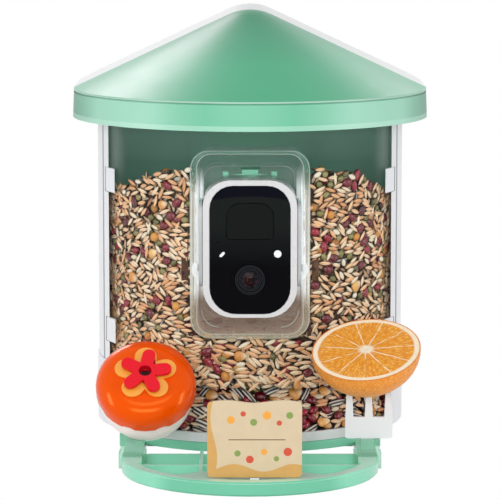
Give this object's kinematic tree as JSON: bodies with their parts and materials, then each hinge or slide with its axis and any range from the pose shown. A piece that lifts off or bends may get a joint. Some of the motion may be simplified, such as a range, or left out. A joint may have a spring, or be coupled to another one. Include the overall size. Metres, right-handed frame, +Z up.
{
  "type": "bird feeder with camera",
  "caption": "Garden bird feeder: clear round-fronted seed hopper under a hinged roof, a tilting camera in a front pocket, a seed tray, and a bowed perch with nectar dish, fruit fork and sign.",
  "frame": {"origin": "on the standing plane, on the axis of the half round front of the seed hopper", "axes": "+Z up, -Y towards the viewer and the birds, +X to the viewer's right"},
  "size_m": [0.252, 0.297, 0.305],
  "materials": {
    "mint_plastic": "satin gloss",
    "pale_plastic": "satin gloss",
    "clear_plastic": "clear gloss",
    "clear_green_plastic": "translucent gloss",
    "black_gloss": "mirror gloss",
    "black_satin": "fine satin",
    "lens_coated_glass": "coated and polished",
    "diffuser": "milky",
    "soft_seal": "matt",
    "steel": "bright",
    "brass": "machined",
    "board_green": "solder mask",
    "cell_wrap": "shrink wrap",
    "seed_mix": "mixed dry grain",
    "orange_fruit": "cut fruit and peel",
    "lid_orange": "high gloss",
    "flower_yellow": "gloss",
    "flower_red": "gloss",
    "sign_print": "satin print on a thin board"
  },
  "bodies": {
    "feeder": {"base_foot": "mint_plastic", "camera_pocket": "clear_plastic", "foot_screw_left_front": "steel", "foot_screw_left_rear": "steel", "foot_screw_right_front": "steel", "foot_screw_right_rear": "steel", "front_window": "clear_plastic", "hinge_pin_left": "steel", "hinge_pin_right": "steel", "hopper_seed": "seed_mix", "rear_shell": "mint_plastic", "seed_ramp": "mint_plastic", "side_frame_left": "pale_plastic", "side_frame_right": "pale_plastic", "threaded_insert": "brass", "top_rim": "mint_plastic", "tray": "pale_plastic", "tray_seed": "seed_mix", "window_clip_left_lower": "pale_plastic", "window_clip_left_upper": "pale_plastic", "window_clip_right_lower": "pale_plastic", "window_clip_right_upper": "pale_plastic"},
    "roof": {"roof": "mint_plastic"},
    "camera": {"camera_front_shell": "pale_plastic", "camera_rear_shell": "pale_plastic", "camera_seal": "soft_seal", "camera_screw_left_lower": "steel", "camera_screw_left_upper": "steel", "camera_screw_right_lower": "steel", "camera_screw_right_upper": "steel", "camera_face": "black_gloss", "motion_window": "black_satin", "motion_sensor": "steel", "status_light": "diffuser", "light_sensor": "diffuser", "lens_ring": "black_satin", "lens_barrel": "black_satin", "lens_glass": "lens_coated_glass", "main_board": "board_green", "image_sensor": "black_satin", "battery_cell": "cell_wrap", "speaker": "black_satin", "charging_port": "steel", "camera_cradle": "pale_plastic", "pivot_knob_left": "pale_plastic", "pivot_knob_right": "pale_plastic", "camera_bracket": "mint_plastic"},
    "port_flap": {"port_flap": "soft_seal"},
    "power_button": {"power_button": "soft_seal"},
    "perch": {"perch": "mint_plastic", "fork_clip": "clear_green_plastic", "dish_clip": "clear_green_plastic", "nectar_bowl": "pale_plastic"},
    "fork": {"fruit_fork": "pale_plastic"},
    "orange": {"orange_half": "orange_fruit"},
    "sign": {"sign_plate": "sign_print", "sign_clip": "pale_plastic"},
    "lid": {"nectar_lid": "lid_orange", "flower_outer": "flower_yellow", "flower_inner": "flower_red"}
  },
  "joints": [
    {"name": "roof_hinge", "type": "hinge", "parent": "feeder", "child": "roof", "pos_m": [0, 0.0815, 0.225], "axis": [-1, 0, 0], "range_deg": [0, 100]},
    {"name": "camera_tilt", "type": "hinge", "parent": "feeder", "child": "camera", "pos_m": [0, -0.084, 0.132], "axis": [1, 0, 0], "range_deg": [-6, 8]},
    {"name": "port_flap_hinge", "type": "hinge", "parent": "camera", "child": "port_flap", "pos_m": [-0.0075, -0.075, 0.1009], "axis": [1, 0, 0], "range_deg": [0, 70]},
    {"name": "power_button_press", "type": "slide", "parent": "camera", "child": "power_button", "axis": [0, 0, 1], "range_m": [0, 0.0008], "stiffness_N_per_m": 400, "springref_m": -0.002},
    {"name": "perch_slide", "type": "slide", "parent": "feeder", "child": "perch", "axis": [0, -1, 0], "range_m": [0, 0.06]},
    {"name": "fork_lift", "type": "slide", "parent": "perch", "child": "fork", "axis": [0, 0, 1], "range_m": [0, 0.01]},
    {"name": "orange_lift", "type": "slide", "parent": "fork", "child": "orange", "axis": [0, 0, 1], "range_m": [0, 0.028]},
    {"name": "sign_lift", "type": "slide", "parent": "perch", "child": "sign", "axis": [0, 0, 1], "range_m": [0, 0.012]},
    {"name": "nectar_lid_lift", "type": "slide", "parent": "perch", "child": "lid", "axis": [0, -0.6947, 0.7193], "range_m": [0, 0.035]}
  ]
}
